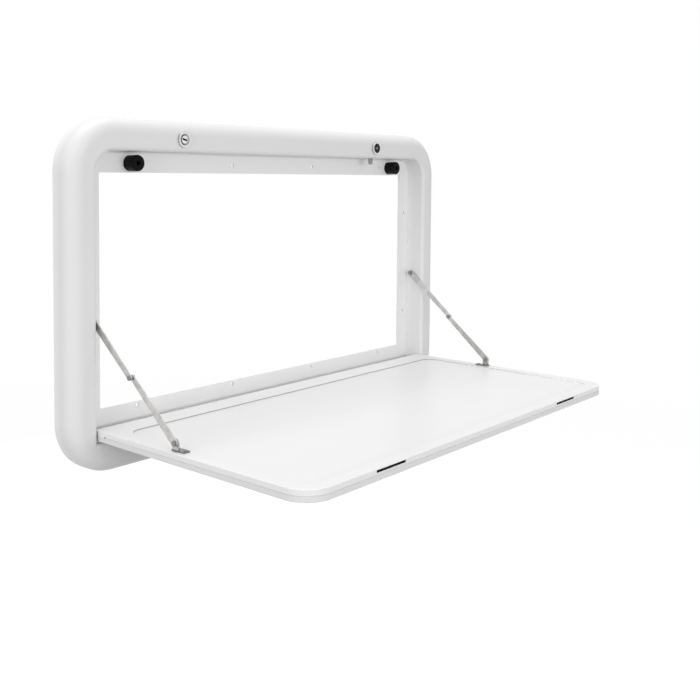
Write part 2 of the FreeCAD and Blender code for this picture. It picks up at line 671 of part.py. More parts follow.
def main():
    os.makedirs("parts", exist_ok=True)
    block = leaf_block()
    nodes = {
        "frame_shell": frame_shell(),
        "leaf_top": leaf_top(block),
        "leaf_base": leaf_base(block),
        "bracket_screws": bracket_screws(),
        "bumper_screws": bumper_screws(),
    }
    for name, side in SIDES.items():
        nodes["bumper_" + name] = bumper(bumper_places[name])
        nodes["lock_housing_" + name] = lock_housing(side)
        nodes["lock_nut_" + name] = lock_nut(side)
        nodes["lock_plug_" + name] = lock_plug(side, KEY_SLOT_TILT[name])
        nodes["lock_cam_" + name] = lock_cam(side, name == "right")
        nodes["cam_screw_" + name] = cam_screw(side)
        nodes["keeper_" + name] = keeper(side)
        nodes["hinge_pin_" + name] = hinge_pin(side)
        nodes["stay_pivot_" + name] = stay_pivot(side)
        nodes["stay_bracket_" + name] = stay_bracket(side)
        nodes["bracket_rivet_" + name] = bracket_rivet(side)
        nodes["upper_link_" + name] = upper_link(side)
        nodes["lower_link_" + name] = lower_link(side)
        nodes["mid_rivet_head_" + name] = mid_rivet_head(side)
        nodes["mid_rivet_tail_" + name] = mid_rivet_tail(side)
    for name, shape in nodes.items():
        shape.exportStep("parts/" + name + ".step")
        print(name, len(shape.Solids), "solids", round(shape.Volume, 1), "mm3", "valid", shape.isValid())
    print("hinge", hinge_y, hinge_z, "frame pivot", frame_pivot, "bracket pivot", bracket_pivot)
    print("mid pivot", mid_pivot, "lock z", lock_z, "span", stay_span)


main()
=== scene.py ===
"""Looks of a caravan folding table: satin white mouldings, plated stays, chromed locks and screws."""

import math

import bmesh
import bpy
from mathutils import Euler, Matrix, Vector


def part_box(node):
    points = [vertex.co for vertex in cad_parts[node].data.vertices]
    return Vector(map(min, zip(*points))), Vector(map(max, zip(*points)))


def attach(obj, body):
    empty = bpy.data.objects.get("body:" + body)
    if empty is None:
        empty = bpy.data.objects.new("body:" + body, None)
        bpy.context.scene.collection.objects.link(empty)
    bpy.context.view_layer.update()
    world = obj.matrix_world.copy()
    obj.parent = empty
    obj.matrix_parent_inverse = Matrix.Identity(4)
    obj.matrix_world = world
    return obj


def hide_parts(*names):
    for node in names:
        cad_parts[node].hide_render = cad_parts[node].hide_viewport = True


bl_info = {
    "name": "Caravan folding table",
    "version": (1, 0, 0),
    "blender": (4, 5, 0),
    "location": "3D View > Sidebar > Table",
    "description": "Finishes and small fittings of a wall-hung folding table",
    "category": "Object",
}

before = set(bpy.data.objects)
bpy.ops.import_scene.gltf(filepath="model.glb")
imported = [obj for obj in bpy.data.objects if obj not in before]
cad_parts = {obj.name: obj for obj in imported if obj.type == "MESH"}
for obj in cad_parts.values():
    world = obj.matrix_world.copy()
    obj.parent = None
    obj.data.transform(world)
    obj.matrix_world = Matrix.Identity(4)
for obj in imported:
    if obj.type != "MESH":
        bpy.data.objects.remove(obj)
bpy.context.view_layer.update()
SIDES = ("left", "right")
LAMP_SIDES = ("top", "front", "left", "back")
LAMP_AIM = Vector((0.0, -0.15, -0.05))
# Only this lamp shows in reflections, so that no pale surface glares when seen from low at its side
MIRRORED_LAMP = "top"
CAMERA_SENSOR = 36.0
FLOOR_RADIUS = 30.0
FLOOR_STEPS = 64
# Distance at which the floor has faded into the white behind it, and how the fade runs up to there
FLOOR_FADE = 4.0
FADE_STOPS = ((0.3, 0.0), (1.0, 1.0))
# The stay runs down from the frame to the leaf at this angle when the table is open
STAY_SLOPE = math.radians(40.19)
# Lock axis, across from the middle and up, and the radii at which the painted reflection and shade on its
# chrome change
LOCK_AXIS = (0.216, 0.2045)
PLUG_R = 0.0061
MOUTH_R = 0.0083
RIM_R = 0.0103
# Length and width of the painted shade over the mouth of the key slot, and its tilt
SLOT_SIZE = (0.0088, 0.0026)
SLOT_TILT = math.radians(14)
# Painted reflection and shade on the chrome: darker ring edges and plug edge, a lighter glint in the dark
# plug's middle, and the radii where they start or end
RIM_SHADE = 0.6
PLUG_REFLECTION_LEVEL = 0.5
PLUG_EDGE_R = PLUG_R * 0.84
GLINT_R = PLUG_R * 0.36
# Radius past the outside of a lock, for a ring that has no outer limit
PAST_LOCK = 0.0166
DARK_PLUG_ROUGHNESS = 0.3
# Colour of the painted shade over the key slot's mouth
SLOT_SHADOW = (0.004, 0.004, 0.004, 1.0)
# Height of a bracket's foot, which is coloured darker than its upright tab
BRACKET_T = 0.0021
FOOT_SHADE = 0.8
# Part of the step's depth that gets painted shade, and how strong that painted shade is from the leaf's front
# edge to its rear edge
STEP_BAND = (0.1, 0.93)
STEP_SHADE_STOPS = ((0.2, 0.0), (0.45, 0.42), (0.82, 0.48), (0.855, 1.0))
# Painted light on the frame against the shade of its recess, rising from its front face to its back plane
FLANGE_LIGHT_STOPS = ((0.6, 0.0), (0.9, 1.0))
# Depth of the pale lip at the mouth of a keeper slot
KEEPER_LIP = 0.0012
# Moulded plastic: size of the slow waves and of rub marks, and how far they change shade and roughness
WAVE_SIZE = 0.09
WAVE_SHADES = (0.985, 1.01)
RUB_SIZE = 0.028
RUB_SPREAD = 0.10
PLASTIC_IOR = 1.5
# Height that counts as one in a plastic's relief
RELIEF_UNIT = 0.001
# Plated steel: clouds in the plating, and dark streaks along the rolling marks
CLOUD_SIZE = 0.009
CLOUD_STOPS = ((0.34, 0.0), (0.66, 1.0))
CLOUD_SHADES = (0.84, 1.10)
CLOUD_SPREAD = 0.06
BRUSH_STRETCH = (1.0, 0.02, 1.0)
BRUSH_RELIEF = 0.00003
BRUSH_SPREAD = 0.14
STREAK_STOPS = ((0.36, 1.0), (0.62, 0.0))
STREAK_SHADE = 0.35
STREAK_STRENGTH = 0.22
# Chrome: haze, and fine scratches that run aslant
HAZE_SIZE = 0.004
HAZE_SHADES = (0.90, 1.05)
HAZE_SPREAD = 0.10
SCRATCH_SIZE = 0.0003
SCRATCH_TURN = 0.5
SCRATCH_STRETCH = (1.0, 1.0, 0.08)
SCRATCH_RELIEF = 0.000008
SCRATCH_ROUGHNESS = 0.04
# Dark mouldings: bloom on the skin, and the roughness, grain size and grain depth of each kind
BLOOM_SIZE = 0.005
BLOOM_SHADES = (0.75, 1.6)
BLOOM_SPREAD = 0.16
DARK_GLOSS = 0.07
RUBBER_SKIN = (0.5, 0.0008, 0.00004)
KEEPER_SKIN = (0.45, 0.0005, 0.00002)
# Points of one screw lie within this distance of its first point
BRACKET_SCREW_SPAN = 0.008
BUMPER_SCREW_SPAN = 0.05
# Turn of a screw's slot for each metre across and back, so that no two look alike
SCREW_SPIN = Vector((40.0, 90.0, 0.0))
CROWN_STEPS = 7
SHARP_ANGLE = math.radians(35)


class MouldingSettings(bpy.types.PropertyGroup):
    """Finish of the frame and the leaf."""

    frame_colour: bpy.props.FloatVectorProperty(
        name="Frame colour", description="Colour of the white frame", subtype="COLOR", size=3,
        default=(0.745, 0.745, 0.745), min=0, max=1)
    leaf_colour: bpy.props.FloatVectorProperty(
        name="Leaf colour", description="Colour of the white leaf", subtype="COLOR", size=3,
        default=(0.80, 0.80, 0.80), min=0, max=1)
    base_colour: bpy.props.FloatVectorProperty(
        name="Base colour", description="Colour of the leaf's lower moulding", subtype="COLOR", size=3,
        default=(0.72, 0.72, 0.72), min=0, max=1)
    frame_roughness: bpy.props.FloatProperty(
        name="Frame roughness", description="Roughness of the frame's satin skin", subtype="FACTOR",
        default=0.42, min=0, max=1)
    leaf_roughness: bpy.props.FloatProperty(
        name="Leaf roughness", description="Roughness of the leaf's smoother skin", subtype="FACTOR",
        default=0.34, min=0, max=1)
    # Painted light: the flange at the back of the frame's recess is coloured lighter than the rim to undo its
    # shade
    flange_painted_light: bpy.props.FloatProperty(
        name="Flange lift", description="How much cleaner and lighter the sheltered flange is than the rim",
        default=1.08, min=1)
    gloss: bpy.props.FloatProperty(
        name="Gloss", description="Strength of the skin's reflections, a half being plain plastic",
        subtype="FACTOR", default=0.36, min=0, max=1)
    grain_size: bpy.props.FloatProperty(
        name="Grain size", description="Width of one grain of the spark-eroded skin", unit="LENGTH",
        default=0.0007, min=0.0001)
    grain_depth: bpy.props.FloatProperty(
        name="Grain depth", description="Depth of the grain", unit="LENGTH", default=0.000012, min=0)
    wave_depth: bpy.props.FloatProperty(
        name="Wave depth", description="Height of the slow waves left by cooling", unit="LENGTH",
        default=0.00012, min=0)
    step_depth: bpy.props.FloatProperty(
        name="Step depth", description="Depth of the step round the leaf's panel", unit="LENGTH",
        default=0.0015, min=0)
    edge_margin: bpy.props.FloatProperty(
        name="Edge margin", unit="LENGTH", default=0.010, min=0,
        description="Distance in from the leaf's edges beyond which a step is the panel's")
    # Painted shade: the step round the panel is darkened as if in shadow, most at the rear
    step_shade: bpy.props.FloatProperty(
        name="Step shade", description="How light the step round the panel stays where dust settles in it",
        subtype="FACTOR", default=0.42, min=0, max=1)


class FittingSettings(bpy.types.PropertyGroup):
    """Finishes of the metal and dark fittings."""

    steel: bpy.props.FloatVectorProperty(
        name="Plated steel", description="Colour of the links of the stays", subtype="COLOR", size=3,
        default=(0.61, 0.603, 0.588), min=0, max=1)
    dull_steel: bpy.props.FloatVectorProperty(
        name="Dull steel", description="Colour of the brackets, rivets, screws and cams", subtype="COLOR",
        size=3, default=(0.33, 0.325, 0.317), min=0, max=1)
    steel_roughness: bpy.props.FloatProperty(
        name="Steel roughness", description="Roughness of the plated steel", subtype="FACTOR",
        default=0.36, min=0, max=1)
    brush_width: bpy.props.FloatProperty(
        name="Brush width", description="Width of the rolling marks along the links", unit="LENGTH",
        default=0.0006, min=0.0001)
    chrome: bpy.props.FloatVectorProperty(
        name="Chrome", description="Colour of the locks", subtype="COLOR", size=3,
        default=(0.78, 0.785, 0.79), min=0, max=1)
    chrome_roughness: bpy.props.FloatProperty(
        name="Chrome roughness", description="Roughness of the chromed locks", subtype="FACTOR",
        default=0.14, min=0, max=1)
    # Painted shade: the chrome in the hollow of a lock is coloured darker
    hollow_shade: bpy.props.FloatProperty(
        name="Tarnish", description="How light the chrome stays in the hollow of a lock",
        subtype="FACTOR", default=0.5, min=0, max=1)
    # Painted dark reflection on the right lock's plug and hollow, which are chrome like the left lock's
    dark_plug: bpy.props.FloatVectorProperty(
        name="Dark plug", description="Colour of the blackened key plug", subtype="COLOR", size=3,
        default=(0.03, 0.03, 0.03), min=0, max=1)
    rubber: bpy.props.FloatVectorProperty(
        name="Rubber", description="Colour of the bumpers", subtype="COLOR", size=3,
        default=(0.0035, 0.0035, 0.0037), min=0, max=1)
    keeper: bpy.props.FloatVectorProperty(
        name="Keeper", description="Colour of the keeper slots", subtype="COLOR", size=3,
        default=(0.02, 0.02, 0.02), min=0, max=1)


class ScrewSettings(bpy.types.PropertyGroup):
    """Sizes of the cross-slot screws."""

    crown: bpy.props.FloatProperty(
        name="Crown", description="Part of the head's height that is domed", subtype="FACTOR",
        default=0.55, min=0.1, max=0.9)
    head_height: bpy.props.FloatProperty(
        name="Head height", description="Height of the head as a part of its radius", subtype="FACTOR",
        default=0.52, min=0.1, max=1)
    shank: bpy.props.FloatProperty(
        name="Shank", description="Radius of the shank as a part of the head's radius", subtype="FACTOR",
        default=0.48, min=0.1, max=0.9)
    slot_reach: bpy.props.FloatProperty(
        name="Slot reach", description="Reach of the cross slot as a part of the head's radius",
        subtype="FACTOR", default=0.62, min=0.2, max=0.9)
    slot_width: bpy.props.FloatProperty(
        name="Slot width", description="Width of the cross slot as a part of the head's radius",
        subtype="FACTOR", default=0.26, min=0.1, max=0.5)
    slot_depth: bpy.props.FloatProperty(
        name="Slot depth", description="Depth of the cross slot as a part of the head's height",
        subtype="FACTOR", default=0.75, min=0.1, max=0.95)
    steps: bpy.props.IntProperty(
        name="Steps", description="Steps round a screw", default=40, min=12)


class StageSettings(bpy.types.PropertyGroup):
    """Floor, light and camera."""

    floor_height: bpy.props.FloatProperty(
        name="Floor height", description="Height of the floor", unit="LENGTH", default=-0.95)
    floor_colour: bpy.props.FloatVectorProperty(
        name="Floor colour", description="Colour of the pale floor", subtype="COLOR", size=3,
        default=(0.40, 0.40, 0.40), min=0, max=1)
    floor_glow: bpy.props.FloatProperty(
        name="Floor glow", description="How far the floor is lifted to white for the eye",
        default=0.7, min=0)
    ambient: bpy.props.FloatProperty(
        name="Ambient", description="Strength of the even light from all round", default=0.56, min=0)
    top_place: bpy.props.FloatVectorProperty(
        name="Top place", description="Place of the soft lamp overhead", subtype="TRANSLATION", size=3,
        unit="LENGTH", default=(-0.1, 0.3, 2.3))
    top_size: bpy.props.FloatVectorProperty(
        name="Top size", description="Width and height of the soft lamp overhead", size=2, unit="LENGTH",
        default=(2.0, 1.4), min=0.1)
    top_power: bpy.props.FloatProperty(
        name="Top power", description="Power of the soft lamp overhead", unit="POWER", default=30.0, min=0)
    front_place: bpy.props.FloatVectorProperty(
        name="Front place", description="Place of the soft lamp low in front", subtype="TRANSLATION", size=3,
        unit="LENGTH", default=(-0.4, -2.9, 0.35))
    front_size: bpy.props.FloatVectorProperty(
        name="Front size", description="Width and height of the soft lamp low in front", size=2,
        unit="LENGTH", default=(2.4, 0.4), min=0.1)
    front_power: bpy.props.FloatProperty(
        name="Front power", description="Power of the soft lamp low in front", unit="POWER",
        default=30.0, min=0)
    left_place: bpy.props.FloatVectorProperty(
        name="Left place", description="Place of the soft lamp at the left", subtype="TRANSLATION", size=3,
        unit="LENGTH", default=(-2.6, -0.4, 0.4))
    left_size: bpy.props.FloatVectorProperty(
        name="Left size", description="Width and height of the soft lamp at the left", size=2, unit="LENGTH",
        default=(1.8, 1.8), min=0.1)
    left_power: bpy.props.FloatProperty(
        name="Left power", description="Power of the soft lamp at the left", unit="POWER",
        default=24.0, min=0)
    back_place: bpy.props.FloatVectorProperty(
        name="Back place", description="Place of the soft lamp low behind", subtype="TRANSLATION", size=3,
        unit="LENGTH", default=(0.5, 2.6, -0.25))
    back_size: bpy.props.FloatVectorProperty(
        name="Back size", description="Width and height of the soft lamp low behind", size=2, unit="LENGTH",
        default=(2.0, 1.2), min=0.1)
    back_power: bpy.props.FloatProperty(
        name="Back power", description="Power of the soft lamp low behind", unit="POWER",
        default=18.0, min=0)
    camera_place: bpy.props.FloatVectorProperty(
        name="Camera place", description="Place of the camera", subtype="TRANSLATION", size=3,
        unit="LENGTH", default=(-1.07109, -1.01518, 0.15298))
    camera_pitch: bpy.props.FloatProperty(
        name="Camera pitch", description="Tilt of the camera below the level", subtype="ANGLE",
        default=math.radians(3.0))
    camera_yaw: bpy.props.FloatProperty(
        name="Camera yaw", description="Turn of the camera to the right of straight ahead", subtype="ANGLE",
        default=math.radians(48.204))
    camera_roll: bpy.props.FloatProperty(
        name="Camera roll", description="Turn of the camera about its line of sight", subtype="ANGLE",
        default=math.radians(0.314))
    camera_lens: bpy.props.FloatProperty(
        name="Camera lens", description="Focal length in millimetres", subtype="DISTANCE_CAMERA",
        default=48.398, min=1)
    camera_shift_x: bpy.props.FloatProperty(
        name="Shift across", description="Lens shift across the picture", default=0.0714)
    camera_shift_y: bpy.props.FloatProperty(
        name="Shift up", description="Lens shift up the picture", default=-0.1751)


class Wire:
    """An output socket in a finish's node tree; arithmetic on it adds Math nodes."""

    def __init__(self, finish, socket):
        self.finish = finish
        self.socket = socket

    def math(self, operation, first, second):
        """Adds one Math node."""
        return self.finish.node("ShaderNodeMath", {"operation": operation}, {0: first, 1: second})

    def __add__(self, other):
        return self.math("ADD", self, other)

    def __radd__(self, other):
        return self.math("ADD", other, self)

    def __sub__(self, other):
        return self.math("SUBTRACT", self, other)

    def __rsub__(self, other):
        return self.math("SUBTRACT", other, self)

    def __mul__(self, other):
        return self.math("MULTIPLY", self, other)

    def __rmul__(self, other):
        return self.math("MULTIPLY", other, self)

    def __abs__(self):
        return self.math("ABSOLUTE", self, 0.0)

    def __lt__(self, other):
        return self.math("LESS_THAN", self, other)

    def __gt__(self, other):
        return self.math("GREATER_THAN", self, other)


class Finish:
    """Builds the node tree of one material or of the world."""

    def __init__(self, owner):
        owner.use_nodes = True
        self.tree = owner.node_tree
        self.tree.nodes.clear()

    def node(self, kind, settings=None, sockets=None, output=0):
        """Adds a node: its settings first, then its socket values or links; gives one output back."""
        node = self.tree.nodes.new(kind)
        for name, value in (settings or {}).items():
            if name == "stops":
                self.set_stops(node.color_ramp, value)
            else:
                setattr(node, name, value)
        for name, value in (sockets or {}).items():
            if isinstance(value, Wire):
                self.tree.links.new(value.socket, node.inputs[name])
            else:
                node.inputs[name].default_value = value
        return Wire(self, node.outputs[output]) if node.outputs else node

    @staticmethod
    def set_stops(ramp, stops):
        """Gives a ramp its stops, each a place and a grey level."""
        while len(ramp.elements) < len(stops):
            ramp.elements.new(1.0)
        for element, (place, level) in zip(ramp.elements, stops):
            element.position = place
            element.color = (level, level, level, 1.0)

    def places(self):
        """Places on the piece in metres, in the piece's own frame."""
        return self.node("ShaderNodeTexCoord", output="Object")

    def axis(self, where, index):
        """One coordinate of a place."""
        return self.node("ShaderNodeSeparateXYZ", None, {0: where}, index)

    def noise(self, where, size, detail=2.0):
        """Even noise with features of about the given size in metres."""
        return self.node("ShaderNodeTexNoise", None, {"Vector": where, "Scale": 1 / size, "Detail": detail})

    def ramp(self, value, stops):
        """Grey ramp on a value."""
        return self.node("ShaderNodeValToRGB", {"stops": stops}, {"Fac": value})

    def blend(self, factor, first, second):
        """Mixes two colours."""
        return self.node("ShaderNodeMix", {"data_type": "RGBA"}, {0: factor, 6: first, 7: second}, 2)

    def stretched(self, where, turn, scale):
        """Places turned about X and then stretched, for marks that run along a piece."""
        mapping = {"Vector": where, "Rotation": (turn, 0.0, 0.0)}
        turned = self.node("ShaderNodeMapping", None, mapping)
        return self.node("ShaderNodeVectorMath", {"operation": "MULTIPLY"}, {0: turned, 1: scale})

    def bump(self, height, distance):
        """Surface relief of the given depth in metres."""
        return self.node("ShaderNodeBump", None, {"Strength": 1.0, "Distance": distance, "Height": height})

    def surface(self, sockets):
        """Principled surface joined to the output."""
        shader = self.node("ShaderNodeBsdfPrincipled", None, sockets)
        self.node("ShaderNodeOutputMaterial", None, {"Surface": shader})


def shaded(colour, level):
    """A colour made darker or lighter, with full opacity."""
    return (colour[0] * level, colour[1] * level, colour[2] * level, 1.0)


def varied(middle, pattern, spread):
    """A value that a pattern between zero and one moves evenly about its middle."""
    return middle - spread / 2 + pattern * spread


def new_material(name):
    """Empty material with its finish."""
    material = bpy.data.materials.new(name)
    return material, Finish(material)


def dress(names, material):
    """Gives CAD nodes a material."""
    for name in names:
        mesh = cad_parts[name].data
        mesh.materials.clear()
        mesh.materials.append(material)


def both_sides(*stems):
    """Names of the left and right node of each stem."""
    return [stem + "_" + side for stem in stems for side in SIDES]


def moulded_white(name, colour, roughness, settings, panel=None, flange=None):
    """Satin moulded plastic with a fine grain, slow waves and faint rubbing.

    A panel's box gives painted shade in its step, and the frame's depth gives painted light on the flange at
    its back."""
    material, finish = new_material(name)
    where = finish.places()
    grain = finish.noise(where, settings.grain_size)
    wave = finish.noise(where, WAVE_SIZE, 1.0)
    rub = finish.noise(where, RUB_SIZE, 5.0)
    tint = finish.blend(wave, *[shaded(colour, level) for level in WAVE_SHADES])
    if panel is not None:
        # Painted shade in the step round the panel
        painted_shade = panel_step(finish, where, panel, settings)
        tint = finish.blend(painted_shade, tint, shaded(colour, settings.step_shade))
    if flange is not None:
        # Painted light on the recessed flange
        painted_light = finish.ramp(finish.axis(where, 1) * (1 / flange) + 1.0, FLANGE_LIGHT_STOPS)
        tint = finish.blend(painted_light, tint, shaded(colour, settings.flange_painted_light))
    relief = grain * settings.grain_depth + wave * settings.wave_depth
    finish.surface({
        "Base Color": tint,
        "Roughness": varied(roughness, rub, RUB_SPREAD),
        "Normal": finish.bump(relief * (1 / RELIEF_UNIT), RELIEF_UNIT),
        "IOR": PLASTIC_IOR,
        "Specular IOR Level": settings.gloss,
    })
    return material


def panel_step(finish, where, panel, settings):
    """Painted shade on the step round the panel of a leaf with the given box: most at the rear, none in
    front.
    """
    low, high = panel
    below = high[2] - finish.axis(where, 2)
    shallow, deep = (settings.step_depth * part for part in STEP_BAND)
    step = (below > shallow) * (below < deep)
    depth = finish.axis(where, 1)
    level = (depth > low[1] + settings.edge_margin) * (depth < high[1] - settings.edge_margin)
    inside = level * (abs(finish.axis(where, 0)) < high[0] - settings.edge_margin)
    rearward = (depth - low[1]) * (1 / (high[1] - low[1]))
    return step * inside * finish.ramp(rearward, STEP_SHADE_STOPS)


def plated_steel(name, colour, look, turn, foot=None):
    """Plated steel with rolling marks along the piece and cloudy plating, darker below the foot's top."""
    material, finish = new_material(name)
    where = finish.places()
    along = finish.stretched(where, turn, BRUSH_STRETCH)
    brush = finish.noise(along, look.brush_width, 3.0)
    cloud = finish.noise(where, CLOUD_SIZE, 3.0)
    patch = finish.ramp(cloud, CLOUD_STOPS)
    tint = finish.blend(patch, *[shaded(colour, level) for level in CLOUD_SHADES])
    streak = finish.ramp(brush, STREAK_STOPS)
    tint = finish.blend(streak * STREAK_STRENGTH, tint, shaded(colour, STREAK_SHADE))
    if foot is not None:
        tint = finish.blend(finish.axis(where, 2) < foot, tint, shaded(look.dull_steel, FOOT_SHADE))
    finish.surface({
        "Base Color": tint,
        "Metallic": 1.0,
        "Roughness": varied(varied(look.steel_roughness, brush, BRUSH_SPREAD), cloud, CLOUD_SPREAD),
        "Normal": finish.bump(brush, BRUSH_RELIEF),
    })
    return material


def bright_chrome(name, colour, roughness, axis, rings, slot=False):
    """Chromed lock piece with fine scratches, rings of painted reflection and shade round its axis, and
    painted shade over the key slot's mouth.
    """
    material, finish = new_material(name)
    where = finish.places()
    haze = finish.noise(where, HAZE_SIZE, 4.0)
    aslant = finish.stretched(where, SCRATCH_TURN, SCRATCH_STRETCH)
    scratch = finish.noise(aslant, SCRATCH_SIZE, 2.0)
    tint = finish.blend(haze, *[shaded(colour, level) for level in HAZE_SHADES])
    across = finish.axis(where, 0) - axis[0]
    up = finish.axis(where, 2) - axis[1]
    span = across * across + up * up
    # Painted reflection and shade in rings round the lock's axis
    for inner, outer, shade in rings:
        tint = finish.blend((span > inner * inner) * (span < outer * outer), tint, shade)
    if slot:
        # Painted shade over the mouth of the key slot
        along = abs(across * math.cos(SLOT_TILT) - up * math.sin(SLOT_TILT))
        aside = abs(across * math.sin(SLOT_TILT) + up * math.cos(SLOT_TILT))
        mouth = (along < SLOT_SIZE[0] / 2) * (aside < SLOT_SIZE[1] / 2)
        tint = finish.blend(mouth, tint, SLOT_SHADOW)
    finish.surface({
        "Base Color": tint,
        "Metallic": 1.0,
        "Roughness": varied(roughness, haze, HAZE_SPREAD) + scratch * SCRATCH_ROUGHNESS,
        "Normal": finish.bump(scratch, SCRATCH_RELIEF),
    })
    return material


def dark_moulding(name, colour, skin, lip=None):
    """Black rubber or plastic with a dull uneven skin, and another colour in front of a lip's place."""
    roughness, grain_size, grain_depth = skin
    material, finish = new_material(name)
    where = finish.places()
    grain = finish.noise(where, grain_size, 3.0)
    bloom = finish.noise(where, BLOOM_SIZE, 4.0)
    tint = finish.blend(bloom, *[shaded(colour, level) for level in BLOOM_SHADES])
    if lip is not None:
        tint = finish.blend(finish.axis(where, 1) < lip[0], tint, shaded(lip[1], 1.0))
    finish.surface({
        "Base Color": tint,
        "Roughness": varied(roughness, bloom, BLOOM_SPREAD),
        "Normal": finish.bump(grain, grain_depth),
        "IOR": PLASTIC_IOR,
        "Specular IOR Level": DARK_GLOSS,
    })
    return material


def separate_solids(name, span):
    """Boxes of a node's separate solids, whose points lie within a span of their first point."""
    groups = []
    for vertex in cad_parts[name].data.vertices:
        near = [group for group in groups if (group[0] - vertex.co).length < span]
        if near:
            near[0].append(vertex.co.copy())
        else:
            groups.append([vertex.co.copy()])
    boxes = []
    for group in groups:
        low = Vector(min(point[axis] for point in group) for axis in range(3))
        high = Vector(max(point[axis] for point in group) for axis in range(3))
        boxes.append((low, high))
    return boxes


def lathed(mesh, profile, steps):
    """Closed turned form about Z from a profile of radii and heights that starts and ends on the axis."""
    rings = []
    for radius, height in profile:
        if radius == 0:
            rings.append([mesh.verts.new((0, 0, height))])
        else:
            turns = [2 * math.pi * step / steps for step in range(steps)]
            points = [(radius * math.cos(turn), radius * math.sin(turn), height) for turn in turns]
            rings.append([mesh.verts.new(point) for point in points])
    for lower, upper in zip(rings, rings[1:]):
        for step in range(steps):
            after = (step + 1) % steps
            corners = [lower[step % len(lower)], lower[after % len(lower)],
                       upper[after % len(upper)], upper[step % len(upper)]]
            mesh.faces.new(list(dict.fromkeys(corners)))


def screw_profile(head_r, head_t, shank_r, shank_length, crown):
    """Profile of a pan-head screw: pointed shank below its seat at zero, domed head above."""
    edge = head_t * (1 - crown)
    profile = [(0, -shank_length), (shank_r, shank_r - shank_length), (shank_r, 0), (head_r, 0)]
    for step in range(CROWN_STEPS):
        angle = math.pi / 2 * step / CROWN_STEPS
        profile.append((head_r * math.cos(angle) ** 0.5, edge + head_t * crown * math.sin(angle)))
    return profile + [(0, head_t)]


def cross_slot(mesh, reach, width, top, depth):
    """Two crossed tapering wings that cut the driver's slot."""
    for turn in (0, math.pi / 2):
        wing = []
        for half, height in ((reach / 2, top - depth), (reach, top), (reach * 1.1, top + depth)):
            corners = ((-half, -width / 2), (half, -width / 2), (half, width / 2), (-half, width / 2))
            spin = Matrix.Rotation(turn, 3, "Z")
            wing.append([mesh.verts.new(spin @ Vector((x, y, height))) for x, y in corners])
        mesh.faces.new(reversed(wing[0]))
        mesh.faces.new(wing[-1])
        for lower, upper in zip(wing, wing[1:]):
            for side in range(4):
                after = (side + 1) % 4
                mesh.faces.new((lower[side], lower[after], upper[after], upper[side]))


def mesh_object(name, fill):
    """New object whose mesh is filled by a function of a bmesh."""
    mesh = bmesh.new()
    fill(mesh)
    data = bpy.data.meshes.new(name)
    mesh.to_mesh(data)
    mesh.free()
    made = bpy.data.objects.new(name, data)
    bpy.context.collection.objects.link(made)
    return made


def screw_mesh(name, head_r, head_t, shank_r, shank_length, sizes):
    """Mesh of one cross-slot screw with its seat at zero and its head up."""
    profile = screw_profile(head_r, head_t, shank_r, shank_length, sizes.crown)
    screw = mesh_object(name, lambda mesh: lathed(mesh, profile, sizes.steps))
    depth = head_t * sizes.slot_depth
    cutter = mesh_object(name + "_slot", lambda mesh: cross_slot(
        mesh, head_r * sizes.slot_reach, head_r * sizes.slot_width, head_t, depth))
    cut = screw.modifiers.new("slot", "BOOLEAN")
    cut.operation = "DIFFERENCE"
    cut.solver = "EXACT"
    cut.use_self = True
    cut.object = cutter
    seen = screw.evaluated_get(bpy.context.evaluated_depsgraph_get())
    data = bpy.data.meshes.new_from_object(seen)
    bpy.data.objects.remove(cutter)
    bpy.data.objects.remove(screw)
    return data


def place_screws(name, node, span, along, sizes, material, body):
    """Puts one detailed screw at each of a node's solids and joins them into one piece."""
    joined = bmesh.new()
    for low, high in separate_solids(node, span):
        middle = (low + high) / 2
        head_r = (high - low)[0] / 2
        length = abs((high - low).dot(along))
        head_t = head_r * sizes.head_height
        seat = middle + along * (length / 2 - head_t)
        data = screw_mesh(name + "_one", head_r, head_t, head_r * sizes.shank, length - head_t, sizes)
        turn = along.to_track_quat("Z", "Y").to_matrix().to_4x4()
        spin = Matrix.Rotation(middle.dot(SCREW_SPIN), 4, "Z")
        data.transform(Matrix.Translation(seat) @ turn @ spin)
        joined.from_mesh(data)
        bpy.data.meshes.remove(data)
    if not joined.faces:
        raise RuntimeError("no screws were found in " + node)
    data = bpy.data.meshes.new(name)
    joined.to_mesh(data)
    joined.free()
    data.materials.append(material)
    data.shade_smooth()
    data.set_sharp_from_angle(angle=SHARP_ANGLE)
    piece = bpy.data.objects.new(name, data)
    bpy.context.collection.objects.link(piece)
    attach(piece, body)
    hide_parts(node)
    return piece


class TABLE_OT_mouldings(bpy.types.Operator):
    """Finish the frame and the leaf in satin white plastic"""

    bl_idname = "table.mouldings"
    bl_label = "Mouldings"

    def execute(self, context):
        settings = context.scene.table_moulding
        dress(["frame_shell"], moulded_white(
            "white_frame", settings.frame_colour, settings.frame_roughness, settings,
            flange=-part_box("frame_shell")[0][1]))
        dress(["leaf_top"], moulded_white(
            "white_leaf", settings.leaf_colour, settings.leaf_roughness, settings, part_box("leaf_top")))
        dress(["leaf_base"], moulded_white(
            "white_leaf_base", settings.base_colour, settings.frame_roughness, settings))
        return {"FINISHED"}


class TABLE_OT_stays(bpy.types.Operator):
    """Finish the stays, brackets and hinge pins in plated steel"""

    bl_idname = "table.stays"
    bl_label = "Stays"

    def execute(self, context):
        look = context.scene.table_fittings
        links = plated_steel("stay_link_steel", look.steel, look, STAY_SLOPE)
        dress(both_sides("upper_link", "lower_link"), links)
        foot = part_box("stay_bracket_left")[0][2] + BRACKET_T
        dress(both_sides("stay_bracket"), plated_steel("bracket_steel", look.steel, look, 0.0, foot))
        small = plated_steel("small_part_steel", look.dull_steel, look, 0.0)
        rivets = both_sides("stay_pivot", "bracket_rivet", "mid_rivet_head", "mid_rivet_tail")
        dress(rivets + both_sides("hinge_pin"), small)
        return {"FINISHED"}


